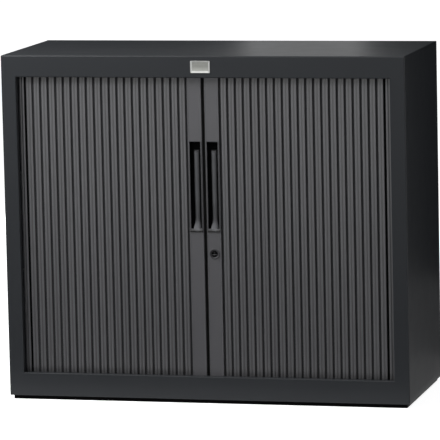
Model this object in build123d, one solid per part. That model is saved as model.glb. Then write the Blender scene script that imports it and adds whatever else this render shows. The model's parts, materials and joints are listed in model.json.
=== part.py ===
from build123d import *
import math
import os

# A low steel cabinet whose front is closed by two slatted curtains. Each curtain hangs between an upper
# and a lower track and slides aside round the front corner. Millimetres; X runs to the right as the
# cabinet is looked at, the front faces -Y, Z is up, and the origin is on the floor under the middle.

# Overall size
width = 1200.0
height = 1016.0
carcass_depth = 473.0
badge_stand = 1.5          # how far the badge stands in front of the frame

# Sheet metal
sheet = 1.0                # panels, liners, trays and shelves
frame_sheet = 1.2          # front frame and plinth
edge_flange = 12.0         # narrow flanges that join the panels
tray_flange = 20.0         # flanges of the wide trays
bend = 1.0                 # outer bend of the front frame

# Front frame
top_rail = 64.0
bottom_rail = 68.0
jamb = 45.0
frame_return = 18.0        # depth of the folded edge round the opening
frame_hem = 7.0            # width of the lip behind that edge

# Plinth and levelling feet
plinth_height = 12.0
plinth_recess = 10.0
plinth_flange = 25.0
foot_inset = 60.0          # from the side and from the front or back to a foot's axis
foot_radius = 20.0
foot_pad = 6.0
stem_radius = 5.0
stem_top = 50.0
foot_hole_play = 0.5
thread_play = 0.05
nut_flats = 17.0
nut_height = 8.0

# Curtain slats
curtain_setback = 22.0     # from the front of the frame to the front of the slats
slat_pitch = 23.1
slat_face = 16.8
slat_thickness = 6.5
slat_corner = 1.2
lip_thickness = 1.5
lip_depth = 4.0            # how far the lip between two slats lies behind their faces
hinge_gap = 0.4            # between a lip and the slat that it reaches
end_play = 0.3             # under the slats and the glides
corner_slats = 2           # slats that already lie in the corner when the curtain is closed
groups_per_curtain = 6

# Tracks
track_wall = 1.2
track_height = 14.0
slat_play = 1.05           # each side of a slat, so that a flat slat can turn the corner
corner_radius = 38.0       # at the middle of the track
back_run_length = 85.0
fit = 0.5                  # between pieces that are slipped in beside each other
base_tray_z = 60.0         # top of the tray that carries the lower tracks
head_tray_drop = 44.0      # from the top of the cabinet to the underside of the upper tray
floor_step = 2.0           # compartment floor above the lower tracks

# Stiles, buffers and handles
centre_gap = 9.6
stile_width = 42.0
stile_depth = 16.0
stile_wall = 1.5
stile_proud = 1.5          # in front of the slats
stile_play = 1.0           # above the floor and below the ceiling
cut_play = 0.15            # round what passes through a cut in the stile
buffer_play = 0.5          # from the middle to each buffer
buffer_thickness = 8.0
buffer_nose = 2.0
glide_plug = 15.0
handle_bottom = 502.0
handle_height = 266.0
handle_width = 38.0
handle_rim = 2.8
rim_stand = 1.0
cup_depth = 11.8
cup_wall = 1.2
grip_width = 19.7
grip_side_gap = 10.0       # finger gap beside the grip
grip_top_gap = 24.0
grip_recess = 2.0
grip_round = 5.0
screw_radius = 1.95
screw_play = 0.05
screw_head_radius = 3.5
screw_head = 1.8
screw_length = 8.0
screw_inset = 45.0

# Lock
lock_z = 438.0
bezel_radius = 15.2
bezel_stand = 2.5
barrel_radius = 11.0
barrel_length = 24.0
plug_radius = 8.0
plug_play = 0.08
plug_recess = 0.6
plug_tail = 1.5
key_slot_width = 2.4
key_slot_height = 9.0
key_slot_depth = 8.0
lock_nut_radius = 14.0
lock_nut_height = 5.0
cam_thickness = 2.5
cam_reach = 40.0           # from the lock's axis to the keeper pin
cam_width = 16.0
cam_tip = 8.0
pin_radius = 3.0
pin_play = 0.3
keeper_plate = 1.5
keeper_width = 18.0
keeper_height = 34.0
cam_screw_radius = 2.0
cam_screw_head = 4.0

# Shelves
shelf_fold = 25.0
shelf_front_gap = 3.75     # behind the liners' front flanges
shelf_play = 1.5
shelf_slots = (8, 17)      # which slot of the row each shelf's clips use
slot_pitch = 32.0
slot_first = 40.0          # above the compartment floor
slot_height = 14.0
slot_width = 3.0
slot_front = 45.0          # from the liner's front edge to the first row
slot_rear = 20.0           # from the liner's straight rear end to the second row
clip_thickness = 2.4
clip_tongue = 12.0
clip_hook = 1.5

# Badge and rivets
badge_width = 58.0
badge_height = 35.0
badge_rim = 4.0
badge_inset = 0.8
rivet_radius = 3.0
rivet_rows = 5
rivet_end = 60.0

# Places that follow from the sizes above
side = width / 2
inner_side = side - sheet
front = -(badge_stand + carcass_depth) / 2 + badge_stand
back = front + carcass_depth
face_back = front + frame_sheet
inner_back = back - sheet
tray_back = inner_back - sheet
body_bottom = plinth_height
opening_side = side - jamb
opening_bottom = body_bottom + bottom_rail
opening_top = height - top_rail

slat_front = front + curtain_setback
curtain_y = slat_front + slat_thickness / 2
track_half = slat_thickness / 2 + slat_play
track_outer = track_half + track_wall
side_run = inner_side - fit - track_outer
back_run = tray_back - fit - track_outer
corner_x = side_run - corner_radius
front_corner_y = curtain_y + corner_radius
rear_corner_y = back_run - corner_radius

head_tray_z = height - head_tray_drop
lower_track_floor = base_tray_z + track_wall
upper_track_floor = head_tray_z - track_wall
slat_bottom = lower_track_floor + end_play
slat_top = upper_track_floor - end_play
floor_z = base_tray_z + track_height + floor_step
ceiling_z = head_tray_z - track_height - floor_step

liner_radius = corner_radius - track_outer - fit
liner_x = corner_x + liner_radius - sheet
rear_liner_y = rear_corner_y + liner_radius - 2 * sheet

stile_inner = centre_gap / 2
stile_outer = stile_inner + stile_width
stile_middle = stile_inner + stile_width / 2
stile_front = slat_front - stile_proud
stile_back = stile_front + stile_depth
stile_bottom = floor_z + stile_play
stile_top = ceiling_z - stile_play
straight_slats = math.ceil((corner_x - stile_outer) / slat_pitch)
slat_count = straight_slats + corner_slats

shelf_front = front_corner_y + sheet + shelf_front_gap
shelf_side = liner_x - shelf_play
slot_rows = (front_corner_y + slot_front, rear_corner_y - slot_rear)
slot_count = int((ceiling_z - floor_z - 2 * slot_first) / slot_pitch) + 1
cam_y = stile_front + barrel_length + plug_tail
lock_x = stile_middle


def block(x, y, z):
    """A box between two values of X, of Y and of Z."""
    spans = (x, y, z)
    middle = [(low + high) / 2 for low, high in spans]
    return Pos(*middle) * Box(*[high - low for low, high in spans])


def rod_z(radius, x, y, z):
    """An upright round bar."""
    return Pos(x, y, (z[0] + z[1]) / 2) * Cylinder(radius, z[1] - z[0])


def rod_y(radius, x, y, z):
    """A round bar that runs from front to back."""
    return Pos(x, (y[0] + y[1]) / 2, z) * Rot(90, 0, 0) * Cylinder(radius, y[1] - y[0])


def mirrored(shape):
    """The same shape on the other side of the cabinet."""
    return shape.mirror(Plane.YZ)


def save(node, *pieces):
    """Writes one node. Its pieces stay separate solids."""
    solids = [solid for piece in pieces for solid in piece.solids()]
    shape = solids[0] if len(solids) == 1 else Compound(solids)
    export_step(shape, f"parts/{node}.step")


def save_pair(name, piece):
    """Writes the right-hand piece and its mirror image on the left."""
    save(f"right_{name}", piece)
    save(f"left_{name}", mirrored(piece))


def upright_edges(shape):
    return shape.edges().filter_by(Axis.Z)


# Carcass

def front_frame():
    """One pressed frame: its face, the fold round the opening and the lip behind the fold."""
    def ring(margin, y):
        outer = block(
            (-opening_side - margin, opening_side + margin),
            y,
            (opening_bottom - margin, opening_top + margin),
        )
        hole = block((-opening_side, opening_side), y, (opening_bottom, opening_top))
        return outer - hole

    face = block((-side, side), (front, face_back), (body_bottom, height))
    face -= block((-opening_side, opening_side), (front, face_back), (opening_bottom, opening_top))
    fold = ring(frame_sheet, (face_back, front + frame_return))
    lip = ring(frame_hem, (front + frame_return - frame_sheet, front + frame_return))
    frame = face + fold + lip
    return fillet(frame.edges().group_by(Axis.Y)[0], bend)


def top_panel():
    return block((-side, side), (face_back, inner_back), (height - sheet, height))


def side_panel():
    """Outer wall with a flange under the top and a flange in front of the back."""
    wall = block((inner_side, side), (face_back, inner_back), (body_bottom, height - sheet))
    upper = block(
        (inner_side - edge_flange, inner_side),
        (face_back, inner_back),
        (height - 2 * sheet, height - sheet),
    )
    rear = block(
        (inner_side - edge_flange, inner_side),
        (tray_back, inner_back),
        (body_bottom, height - 2 * sheet),
    )
    return wall + upper + rear - back_rivets()


def back_panel():
    return block((-side, side), (inner_back, back), (body_bottom, height)) - back_rivets()


def back_rivets():
    """Flush rivets through the back and the side flanges; the same bars cut their holes."""
    x = inner_side - edge_flange / 2
    rise = (height - body_bottom - 2 * rivet_end) / (rivet_rows - 1)
    return [
        rod_y(rivet_radius, sign * x, (tray_back, back), body_bottom + rivet_end + rise * row)
        for sign in (-1, 1)
        for row in range(rivet_rows)
    ]


def foot_places():
    x = side - foot_inset
    y = carcass_depth / 2 - foot_inset
    middle = (front + back) / 2
    return {
        "front_left": (-x, middle - y),
        "front_right": (x, middle - y),
        "rear_left": (-x, middle + y),
        "rear_right": (x, middle + y),
    }


def wide_tray(web, edge):
    """A full-width tray: web is the Z span of its flat, edge the Z span of its flanges."""
    low, high = min(web[0], edge[0]), max(web[1], edge[1])
    outer = block((-inner_side, inner_side), (face_back, tray_back), (low, high))
    hollow = block(
        (-inner_side + sheet, inner_side - sheet),
        (face_back + sheet, tray_back - sheet),
        edge,
    )
    return outer - hollow


def bottom_panel():
    web = (body_bottom, body_bottom + sheet)
    tray = wide_tray(web, (web[1], web[1] + tray_flange))
    return tray - [
        rod_z(stem_radius + foot_hole_play, x, y, web) for x, y in foot_places().values()
    ]


def track_base():
    """Tray that carries the lower tracks and the compartment floor."""
    web = (base_tray_z - sheet, base_tray_z)
    return wide_tray(web, (web[0] - tray_flange, web[0]))


def track_head():
    """Tray that carries the upper tracks and the compartment ceiling."""
    web = (head_tray_z, head_tray_z + sheet)
    return wide_tray(web, (web[1], web[1] + tray_flange))


def plinth():
    """Recessed strip that the cabinet stands on, with an inward flange under the bottom."""
    def ring(thickness, z):
        x = side - plinth_recess
        y = (front + plinth_recess, back - plinth_recess)
        outer = block((-x, x), y, z)
        return outer - block(
            (-x + thickness, x - thickness), (y[0] + thickness, y[1] - thickness), z
        )

    wall = ring(frame_sheet, (0, plinth_height))
    return wall + ring(plinth_flange, (plinth_height - frame_sheet, plinth_height))


def foot(x, y):
    """Levelling foot: a pad on a screwed stem."""
    pad = rod_z(foot_radius, x, y, (0, foot_pad))
    pad = chamfer(pad.edges().group_by(Axis.Z)[-1], foot_pad / 3)
    return pad + rod_z(stem_radius, x, y, (foot_pad, stem_top))


def foot_nuts():
    """Weld nuts on top of the bottom panel."""
    z = body_bottom + sheet
    nuts = []
    for x, y in foot_places().values():
        across_corners = nut_flats / math.sqrt(3)
        nut = Pos(x, y, z) * extrude(RegularPolygon(across_corners, 6), nut_height)
        nuts.append(nut - rod_z(stem_radius + thread_play, x, y, (z, z + nut_height)))
    return nuts


# Compartment

def rounded_block(x, y, z, front_radius, rear_radius):
    """A block whose upright corners are rounded, by one radius in front and another behind."""
    shape = block(x, y, z)
    if front_radius:
        shape = fillet(upright_edges(shape).group_by(Axis.Y)[0], front_radius)
    return fillet(upright_edges(shape).group_by(Axis.Y)[-1], rear_radius)


def folded_tray(x_half, y, z, front_radius, rear_radius, open_below):
    """A shallow folded tray with rounded upright corners."""
    inner_z = (z[0], z[1] - sheet) if open_below else (z[0] + sheet, z[1])
    inner_front = front_radius - sheet if front_radius else 0
    return rounded_block((-x_half, x_half), y, z, front_radius, rear_radius) - rounded_block(
        (-x_half + sheet, x_half - sheet),
        (y[0] + sheet, y[1] - sheet),
        inner_z,
        inner_front,
        rear_radius - sheet,
    )


def floor_panel():
    y = (curtain_y + track_outer + fit, rear_liner_y - fit)
    radius = liner_radius - 2 * sheet
    return folded_tray(liner_x - fit, y, (base_tray_z, floor_z), radius, radius, True)


def ceiling_panel():
    y = (curtain_y + track_outer + fit, rear_liner_y - fit)
    radius = liner_radius - 2 * sheet
    return folded_tray(liner_x - fit, y, (ceiling_z, head_tray_z), radius, radius, False)


def slot_z(index):
    return floor_z + slot_first + slot_pitch * index


def side_liner():
    """Inner wall beside the curtain's run, bent round the rear corner, with slots for shelf clips."""
    z = (base_tray_z, head_tray_z)
    wall = block((liner_x, liner_x + sheet), (front_corner_y, rear_corner_y), z)
    front_edge = block(
        (liner_x - edge_flange, liner_x), (front_corner_y, front_corner_y + sheet), z
    )
    corner = Pos(corner_x, rear_corner_y, 0) * quarter_ring(liner_radius - sheet, liner_radius, z)
    lap = block(
        (corner_x - tray_flange, corner_x),
        (rear_liner_y + sheet, rear_liner_y + 2 * sheet),
        z,
    )
    slots = [
        block(
            (liner_x - sheet, liner_x + 2 * sheet),
            (y - slot_width / 2, y + slot_width / 2),
            (slot_z(row) - slot_height / 2, slot_z(row) + slot_height / 2),
        )
        for y in slot_rows
        for row in range(slot_count)
    ]
    # The floor and the ceiling stand inside the liner, so its front edge is cut back over their height.
    notches = [
        block(
            (liner_x - edge_flange, liner_x),
            (front_corner_y, front_corner_y + sheet),
            span,
        )
        for span in ((base_tray_z, floor_z + fit), (ceiling_z - fit, head_tray_z))
    ]
    return wall + (front_edge - notches) + corner + lap - slots


def rear_liner():
    x = corner_x - edge_flange
    y = (rear_liner_y, rear_liner_y + sheet)
    return block((-x, x), y, (base_tray_z, head_tray_z))


def shelf(index):
    """Folded shelf that stands on the clips of one slot."""
    low = slot_z(index) + slot_height / 2
    y = (shelf_front, rear_liner_y - shelf_play)
    radius = liner_radius - 2 * sheet
    return folded_tray(shelf_side, y, (low, low + shelf_fold), 0, radius, True)


def shelf_clips():
    """Hooked tongues in the liner slots, four under each shelf."""
    clips = []
    for index in shelf_slots:
        top = slot_z(index) + slot_height / 2
        for y in slot_rows:
            span = (y - clip_thickness / 2, y + clip_thickness / 2)
            tongue = block((liner_x - clip_tongue, liner_x), span, (top - clip_tongue, top))
            neck = block((liner_x, liner_x + sheet), span, (top - clip_tongue, top - sheet))
            hook = block(
                (liner_x + sheet, liner_x + sheet + clip_hook),
                span,
                (top - clip_tongue - 2 * sheet, top - sheet),
            )
            clip = tongue + neck + hook
            clips += [clip, mirrored(clip)]
    return clips


# Tracks and curtains

def quarter_ring(inner, outer, z):
    """A quarter of a ring, on the side of +X and +Y."""
    ring = Cylinder(outer, z[1] - z[0]) - Cylinder(inner, z[1] - z[0])
    ring = Pos(0, 0, (z[0] + z[1]) / 2) * ring
    return ring & block((0, outer), (0, outer), z)


def run_band(half, z, middle_end):
    """The curtain's whole run, half wide to each side of its middle line, between two heights."""
    corner = quarter_ring(corner_radius - half, corner_radius + half, z)
    front_corner = Pos(corner_x, front_corner_y, 0) * corner.mirror(Plane.XZ)
    rear_corner = Pos(corner_x, rear_corner_y, 0) * corner
    front_run = block((middle_end, corner_x), (curtain_y - half, curtain_y + half), z)
    side_band = block((side_run - half, side_run + half), (front_corner_y, rear_corner_y), z)
    back_band = block(
        (corner_x - back_run_length, corner_x), (back_run - half, back_run + half), z
    )
    return front_run + front_corner + side_band + rear_corner + back_band


def track(z, channel_z):
    """Channel of the curtain's run; channel_z is the part of its height that is open inside."""
    return run_band(track_outer, z, fit / 2) - run_band(track_half, channel_z, fit / 2)


def place_on_run(distance):
    """Where a slat's middle stands, and how far it is turned, by its distance from the centre."""
    past_corner_start = max(0.0, distance - corner_x)
    turned = min(past_corner_start / corner_radius, math.pi / 2)
    along_side = past_corner_start - turned * corner_radius
    x = min(distance, corner_x) + corner_radius * math.sin(turned)
    y = curtain_y + corner_radius * (1 - math.cos(turned)) + along_side
    return x, y, math.degrees(turned)


def slat_shape():
    """One slat of the right-hand curtain, lying straight, with its lip towards the centre."""
    half = slat_face / 2
    face = block((-half, half), (-slat_thickness / 2, slat_thickness / 2), (slat_bottom, slat_top))
    face = fillet(upright_edges(face), slat_corner)
    lip_y = -slat_thickness / 2 + lip_depth
    lip = block(
        (half - slat_pitch + hinge_gap, -half + slat_corner),
        (lip_y, lip_y + lip_thickness),
        (slat_bottom, slat_top),
    )
    return face + lip


def slats():
    """All slats of the right-hand curtain, from the stile outwards."""
    shape = slat_shape()
    placed = []
    for index in range(slat_count):
        x, y, turned = place_on_run(stile_outer + slat_pitch * (index + 1) - slat_face / 2)
        placed.append(Pos(x, y, 0) * Rot(0, 0, turned) * shape)
    return placed


def slat_groups():
    """The curtain's slats shared out over the groups that slide together."""
    placed = slats()
    ends = [round(slat_count * (i + 1) / groups_per_curtain) for i in range(groups_per_curtain)]
    starts = [0] + ends[:-1]
    return [placed[start:end] for start, end in zip(starts, ends)]


# Sliding stiles

def handle_span():
    return handle_bottom, handle_bottom + handle_height


def cup_half():
    """Half the outer width of the handle's cup."""
    return handle_width / 2 - handle_rim + cup_wall


def cup_z():
    low, high = handle_span()
    margin = handle_rim - cup_wall
    return low + margin, high - margin


def screw_places():
    low, high = handle_span()
    return low + screw_inset, high - screw_inset - grip_top_gap


def grip_x():
    left = -handle_width / 2 + handle_rim + grip_side_gap
    return left, left + grip_width


def stile(is_right):
    """Hollow upright that leads a curtain; the right one takes the lock."""
    x = (stile_inner, stile_outer) if is_right else (-stile_outer, -stile_inner)
    middle = sum(x) / 2
    z = (stile_bottom, stile_top)
    tube = block(x, (stile_front, stile_back), z)
    tube = fillet(upright_edges(tube), slat_corner)
    tube -= block(
        (x[0] + stile_wall, x[1] - stile_wall),
        (stile_front + stile_wall, stile_back - stile_wall),
        z,
    )
    tube -= block(
        (middle - cup_half() - cut_play, middle + cup_half() + cut_play),
        (stile_front, stile_front + stile_wall),
        (cup_z()[0] - cut_play, cup_z()[1] + cut_play),
    )
    grip_middle = sum(grip_x()) / 2
    for place in screw_places():
        tube -= rod_y(
            screw_radius + cut_play,
            middle + grip_middle,
            (stile_back - stile_wall, stile_back),
            place,
        )
    if is_right:
        tube -= rod_y(barrel_radius + cut_play, middle, (stile_front, stile_back), lock_z)
    return tube


def handle(middle):
    """Sunk handle: a rim, a cup and an upright grip beside the finger gap."""
    low, high = handle_span()
    half = handle_width / 2
    rim = block(
        (middle - half, middle + half), (stile_front - rim_stand, stile_front), (low, high)
    )
    rim = fillet(rim.edges().group_by(Axis.Y)[0], rim_stand / 2)
    cup_back = stile_front + cup_depth + cup_wall
    cup = block(
        (middle - cup_half(), middle + cup_half()), (stile_front, cup_back), cup_z()
    )
    pocket_half = cup_half() - cup_wall
    pocket = block(
        (middle - pocket_half, middle + pocket_half),
        (stile_front - rim_stand, stile_front + cup_depth),
        (cup_z()[0] + cup_wall, cup_z()[1] - cup_wall),
    )
    grip = block(
        (middle + grip_x()[0], middle + grip_x()[1]),
        (stile_front + grip_recess, stile_front + cup_depth),
        (cup_z()[0] + cup_wall, cup_z()[1] - cup_wall - grip_top_gap),
    )
    front_edges = grip.edges().group_by(Axis.Y)[0]
    grip = fillet(front_edges.filter_by(Axis.Z) + front_edges.sort_by(Axis.Z)[-1:], grip_round)
    body = rim + cup - pocket + grip
    grip_middle = middle + sum(grip_x()) / 2
    for place in screw_places():
        body -= rod_y(
            screw_radius + screw_play,
            grip_middle,
            (stile_back - screw_length - stile_wall, cup_back),
            place,
        )
    return body


def handle_screws(middle):
    """Two screws from behind, through the stile into the grip."""
    x = middle + sum(grip_x()) / 2
    screws = []
    for z in screw_places():
        head = rod_y(screw_head_radius, x, (stile_back, stile_back + screw_head), z)
        head = fillet(head.edges().group_by(Axis.Y)[-1], screw_head / 2)
        shank = rod_y(screw_radius, x, (stile_back - screw_length, stile_back), z)
        screws.append(head + shank)
    return screws


def buffer():
    """Rubber strip on the stile's closing edge."""
    middle_y = (stile_front + stile_back) / 2
    strip = block(
        (buffer_play, stile_inner),
        (middle_y - buffer_thickness / 2, middle_y + buffer_thickness / 2),
        (stile_bottom, stile_top),
    )
    nose = strip.edges().filter_by(Axis.Z).group_by(Axis.X)[0]
    return fillet(nose, buffer_nose)


def stile_glides():
    """Nylon tongues at the stile's ends: each runs in a track and plugs into the tube."""
    x = (stile_inner + stile_wall + fit, stile_outer - stile_wall - fit)
    tongue_y = (slat_front, slat_front + slat_thickness)
    plug_y = (stile_front + stile_wall + fit, stile_back - stile_wall - fit)
    shoulder_y = (stile_front + stile_wall, stile_back - stile_wall)
    shoulder_x = (stile_inner + stile_wall / 2, stile_outer - stile_wall / 2)
    lower = block(x, tongue_y, (slat_bottom, floor_z))
    lower += block(shoulder_x, shoulder_y, (floor_z + fit, stile_bottom))
    lower += block(x, tongue_y, (floor_z, stile_bottom))
    lower += block(x, plug_y, (stile_bottom, stile_bottom + glide_plug))
    upper = block(x, tongue_y, (ceiling_z, slat_top))
    upper += block(shoulder_x, shoulder_y, (stile_top, ceiling_z - fit))
    upper += block(x, tongue_y, (stile_top, ceiling_z))
    upper += block(x, plug_y, (stile_top - glide_plug, stile_top))
    return [lower, upper]


# Lock

def lock_housing():
    bezel = rod_y(bezel_radius, lock_x, (stile_front - bezel_stand, stile_front), lock_z)
    bezel = chamfer(bezel.edges().group_by(Axis.Y)[0], bezel_stand / 2)
    barrel = rod_y(barrel_radius, lock_x, (stile_front, stile_front + barrel_length), lock_z)
    bore = rod_y(
        plug_radius + plug_play,
        lock_x,
        (stile_front - bezel_stand, stile_front + barrel_length),
        lock_z,
    )
    return bezel + barrel - bore


def lock_nut():
    y = (stile_back, stile_back + lock_nut_height)
    hexagon = Rot(90, 0, 0) * extrude(RegularPolygon(lock_nut_radius, 6), lock_nut_height)
    nut = Pos(lock_x, y[1], lock_z) * hexagon
    return nut - rod_y(barrel_radius + screw_play, lock_x, y, lock_z)


def lock_plug():
    """Turning plug with its key slot in front and a tapped hole behind."""
    y = (stile_front - bezel_stand + plug_recess, cam_y)
    plug = rod_y(plug_radius, lock_x, y, lock_z)
    slot_half = key_slot_height / 2
    plug -= block(
        (lock_x - key_slot_width / 2, lock_x + key_slot_width / 2),
        (y[0], y[0] + key_slot_depth),
        (lock_z - slot_half, lock_z + slot_half),
    )
    tapped = (cam_y - screw_length, cam_y)
    return plug - rod_y(cam_screw_radius + screw_play, lock_x, tapped, lock_z)


def lock_cam():
    """Lever behind the lock. It hangs down when unlocked; its slot takes the keeper pin when turned."""
    y = (cam_y, cam_y + cam_thickness)
    arm = block(
        (lock_x - cam_width / 2, lock_x + cam_width / 2),
        y,
        (lock_z - cam_reach - cam_tip, lock_z),
    )
    arm += rod_y(cam_width / 2, lock_x, y, lock_z)
    slot_half = pin_radius + pin_play
    sweep = rod_y(cam_reach + slot_half, lock_x, y, lock_z)
    sweep -= rod_y(cam_reach - slot_half, lock_x, y, lock_z)
    sweep &= block(
        (lock_x - cam_width, lock_x), y, (lock_z - cam_reach - cam_tip, lock_z)
    )
    seat = rod_y(slot_half, lock_x, y, lock_z - cam_reach)
    return arm - sweep - seat - rod_y(cam_screw_radius + screw_play, lock_x, y, lock_z)


def cam_screw():
    head_y = cam_y + cam_thickness
    head = rod_y(cam_screw_head, lock_x, (head_y, head_y + cam_thickness), lock_z)
    head = fillet(head.edges().group_by(Axis.Y)[-1], cam_thickness / 3)
    return head + rod_y(cam_screw_radius, lock_x, (cam_y - screw_length + sheet, head_y), lock_z)


def lock_keeper():
    """Plate and pin on the back of the left stile."""
    x = lock_x - cam_reach
    plate = block(
        (x - keeper_width / 2, x + keeper_width / 2),
        (stile_back, stile_back + keeper_plate),
        (lock_z - keeper_height / 2, lock_z + keeper_height / 2),
    )
    pin = rod_y(pin_radius, x, (stile_back + keeper_plate, cam_y + 2 * cam_thickness), lock_z)
    return plate + pin


# Badge

def badge_middle():
    return height - top_rail / 2


def badge_frame():
    """Bevelled rim with nothing written on it."""
    z = badge_middle()
    outer = block(
        (-badge_width / 2, badge_width / 2),
        (front - badge_stand, front),
        (z - badge_height / 2, z + badge_height / 2),
    )
    outer = chamfer(outer.edges().group_by(Axis.Y)[0], badge_stand / 2)
    return outer - badge_window(badge_stand)


def badge_window(stand):
    z = badge_middle()
    half_x = badge_width / 2 - badge_rim
    half_z = badge_height / 2 - badge_rim
    return block((-half_x, half_x), (front - stand, front), (z - half_z, z + half_z))


def badge_plate():
    return badge_window(badge_stand - badge_inset)


os.makedirs("parts", exist_ok=True)

save("front_frame", front_frame())
save("top_panel", top_panel())
save_pair("side_panel", side_panel())
save("back_panel", back_panel())
save("back_rivets", *back_rivets())
save("bottom_panel", bottom_panel())
save("track_base", track_base())
save("track_head", track_head())
save("plinth", plinth())
save("foot_nuts", *foot_nuts())
for corner_name, (foot_x, foot_y) in foot_places().items():
    save(f"{corner_name}_foot", foot(foot_x, foot_y))

save("floor_panel", floor_panel())
save("ceiling_panel", ceiling_panel())
save_pair("side_liner", side_liner())
save("rear_liner", rear_liner())
save("lower_shelf", shelf(shelf_slots[0]))
save("upper_shelf", shelf(shelf_slots[1]))
save("shelf_clips", *shelf_clips())

lower_z = (base_tray_z, base_tray_z + track_height)
upper_z = (head_tray_z - track_height, head_tray_z)
save_pair("lower_track", track(lower_z, (lower_track_floor, lower_z[1])))
save_pair("upper_track", track(upper_z, (upper_z[0], upper_track_floor)))

for number, group in enumerate(slat_groups(), start=1):
    save(f"right_slats_{number}", *group)
    save(f"left_slats_{number}", *[mirrored(slat) for slat in group])

save("right_stile", stile(True))
save("left_stile", stile(False))
save("right_handle", handle(stile_middle))
save("left_handle", handle(-stile_middle))
save("right_handle_screws", *handle_screws(stile_middle))
save("left_handle_screws", *handle_screws(-stile_middle))
save_pair("buffer", buffer())
save("right_stile_glides", *stile_glides())
save("left_stile_glides", *[mirrored(glide) for glide in stile_glides()])

save("lock_housing", lock_housing())
save("lock_nut", lock_nut())
save("lock_plug", lock_plug())
save("lock_cam", lock_cam())
save("cam_screw", cam_screw())
save("lock_keeper", lock_keeper())

save("badge_frame", badge_frame())
save("badge_plate", badge_plate())
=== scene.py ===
import json
import math
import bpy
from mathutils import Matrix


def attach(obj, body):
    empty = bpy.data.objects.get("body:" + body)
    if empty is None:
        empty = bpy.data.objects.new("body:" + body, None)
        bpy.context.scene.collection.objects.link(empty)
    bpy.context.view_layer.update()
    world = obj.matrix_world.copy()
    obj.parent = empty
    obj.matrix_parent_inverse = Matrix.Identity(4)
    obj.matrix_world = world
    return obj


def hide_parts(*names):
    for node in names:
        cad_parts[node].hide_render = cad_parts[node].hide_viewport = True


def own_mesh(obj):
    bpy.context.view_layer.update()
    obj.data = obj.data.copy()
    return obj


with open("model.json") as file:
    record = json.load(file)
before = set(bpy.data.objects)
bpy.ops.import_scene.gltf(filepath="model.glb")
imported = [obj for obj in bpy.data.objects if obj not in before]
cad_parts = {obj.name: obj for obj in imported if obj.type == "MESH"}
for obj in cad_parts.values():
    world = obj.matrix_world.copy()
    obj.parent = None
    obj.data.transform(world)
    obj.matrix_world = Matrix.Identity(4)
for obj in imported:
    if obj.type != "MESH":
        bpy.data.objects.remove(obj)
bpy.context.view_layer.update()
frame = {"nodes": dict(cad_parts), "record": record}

from types import SimpleNamespace

import bmesh
import bpy
from bpy.props import FloatProperty, FloatVectorProperty, PointerProperty
from mathutils import Matrix, Vector

bl_info = {
    "name": "Tambour cabinet",
    "version": (1, 0, 0),
    "blender": (4, 5, 0),
    "location": "View3D > Sidebar > Cabinet",
    "description": "Models and finishes a low steel cabinet with two slatted curtain doors",
    "category": "Object",
}

MM = 0.001
SIDES = {"left": -1, "right": 1}
MIRROR = Matrix.Scale(-1, 4, (1, 0, 0))
UPRIGHT, FLAT = (math.pi / 2, 0, 0), (0, 0, 0)  # turns of a flat sheet, facing front and up

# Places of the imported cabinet, in millimetres
SIDE_X = 600.0
FRONT = -235.75
INNER_BACK = 236.25
BACK = 237.25
BODY_BOTTOM = 12.0
TOP = 1016.0
OPENING = (-555.0, 555.0, 80.0, 952.0)  # left, right, low, high
FRAME_DEPTH = 18.0
FRAME_SHEET = 1.2
SHEET = 1.0
CURTAIN_Y = -210.5
SLAT_PITCH = 23.1
SLAT_WIDTH = 16.8
SLAT_DEPTH = 6.5
SLAT_Z = (74.4, 957.6)  # between the tracks
SHADE_LOW, SHADE_TOP = 82.0, 949.0  # where the painted shade from the frame's folds begins on the slats
UNDER_RAIL = (0, 3, 6, 9, 12, 16, 21)  # steps down over which the painted shade under the top fold fades
OVER_RAIL = (0, 4, 8, 13, 19)  # and steps up from the foot's fold
SLAT_COUNT = 24
SLATS_PER_GROUP = 4
LAST_IN_SIGHT = 21  # the slat beside the jamb, which already leans into the corner
LAST_LEAN = math.radians(8.5)
TURN_X = 555.0
TURN_RADIUS = 38.0
STILE_X = (4.8, 46.8)
STILE_MIDDLE = 25.8
STILE_Y = (-215.25, -199.25)
STILE_Z = (77.0, 955.0)
HANDLE_Z = (502.0, 768.0)
LOCK_Z = 438.0
LOCK_HOLE = 11.2
BADGE_Z = 984.0
RIVET_X = 593.0
RIVET_END = 60.0
RIVET_ROWS = 5


def corner(x, y, z):
    """A point given in millimetres."""
    return Vector((x, y, z)) * MM


def clamped(value):
    return min(1.0, max(0.0, value))


# Picks by place, used in edit mode, in millimetres. Each makes a test that takes the points
# of one vertex, edge or face.

NEAR = 0.02


def at(axis, *values):
    return lambda points: any(all(abs(p[axis] - value) < NEAR for p in points) for value in values)


def within(axis, low, high):
    return lambda points: all(low - NEAR <= p[axis] <= high + NEAR for p in points)


def around(x, z, near, far):
    """All points between two distances from a line that runs from front to back."""
    return lambda points: all(near <= math.hypot(p[0] - x, p[2] - z) <= far for p in points)


def both(*tests):
    return lambda points: all(test(points) for test in tests)


def either(*tests):
    return lambda points: any(test(points) for test in tests)


def deselect():
    bpy.ops.object.select_all(action="DESELECT")


def select_only(obj):
    deselect()
    obj.select_set(True)
    bpy.context.view_layer.objects.active = obj


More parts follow.
